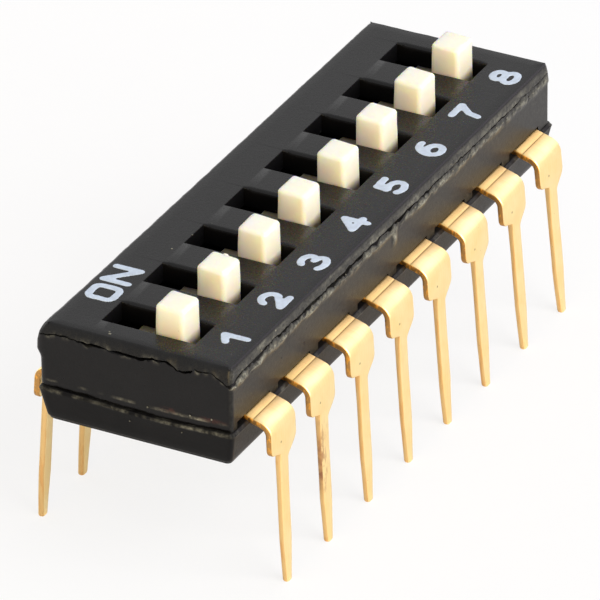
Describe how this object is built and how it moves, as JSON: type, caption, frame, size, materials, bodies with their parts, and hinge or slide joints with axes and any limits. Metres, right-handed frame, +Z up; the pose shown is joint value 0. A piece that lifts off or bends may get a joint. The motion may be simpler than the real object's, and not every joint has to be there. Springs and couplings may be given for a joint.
{
  "type": "dip switch",
  "caption": "Dual in-line slide switch: long black moulded housing with square ivory knobs in a row of slots, and flat gold-plated leads bent down from both long sides.",
  "frame": {"origin": "middle of the footprint at the level of the lead tips", "axes": "+X along the row from position 1 to position 8, +Y from the digit side to the ON side, +Z up out of the knob side"},
  "size_m": [0.021, 0.0088, 0.0086],
  "materials": {
    "cover_black": "semi-gloss moulded",
    "base_black": "satin moulded",
    "knob_ivory": "semi-gloss moulded",
    "lead_gold": "bright gold plate",
    "contact_gold": "gold plate"
  },
  "bodies": {
    "housing": {"cover": "cover_black", "case": "cover_black", "base": "base_black", "terminal_1": "lead_gold", "terminal_2": "lead_gold", "terminal_3": "lead_gold", "terminal_4": "lead_gold", "terminal_5": "lead_gold", "terminal_6": "lead_gold", "terminal_7": "lead_gold", "terminal_8": "lead_gold", "terminal_9": "lead_gold", "terminal_10": "lead_gold", "terminal_11": "lead_gold", "terminal_12": "lead_gold", "terminal_13": "lead_gold", "terminal_14": "lead_gold", "terminal_15": "lead_gold", "terminal_16": "lead_gold"},
    "switch_1": {"slider_1": "knob_ivory", "contact_1": "contact_gold"},
    "switch_2": {"slider_2": "knob_ivory", "contact_2": "contact_gold"},
    "switch_3": {"slider_3": "knob_ivory", "contact_3": "contact_gold"},
    "switch_4": {"slider_4": "knob_ivory", "contact_4": "contact_gold"},
    "switch_5": {"slider_5": "knob_ivory", "contact_5": "contact_gold"},
    "switch_6": {"slider_6": "knob_ivory", "contact_6": "contact_gold"},
    "switch_7": {"slider_7": "knob_ivory", "contact_7": "contact_gold"},
    "switch_8": {"slider_8": "knob_ivory", "contact_8": "contact_gold"}
  },
  "joints": [
    {"name": "slide_1", "type": "slide", "parent": "housing", "child": "switch_1", "axis": [0, 1, 0], "range_m": [0, 0.00128]},
    {"name": "slide_2", "type": "slide", "parent": "housing", "child": "switch_2", "axis": [0, 1, 0], "range_m": [0, 0.00128]},
    {"name": "slide_3", "type": "slide", "parent": "housing", "child": "switch_3", "axis": [0, 1, 0], "range_m": [0, 0.00128]},
    {"name": "slide_4", "type": "slide", "parent": "housing", "child": "switch_4", "axis": [0, 1, 0], "range_m": [0, 0.00128]},
    {"name": "slide_5", "type": "slide", "parent": "housing", "child": "switch_5", "axis": [0, 1, 0], "range_m": [0, 0.00128]},
    {"name": "slide_6", "type": "slide", "parent": "housing", "child": "switch_6", "axis": [0, 1, 0], "range_m": [0, 0.00128]},
    {"name": "slide_7", "type": "slide", "parent": "housing", "child": "switch_7", "axis": [0, 1, 0], "range_m": [0, 0.00128]},
    {"name": "slide_8", "type": "slide", "parent": "housing", "child": "switch_8", "axis": [0, 1, 0], "range_m": [0, 0.00128]}
  ]
}
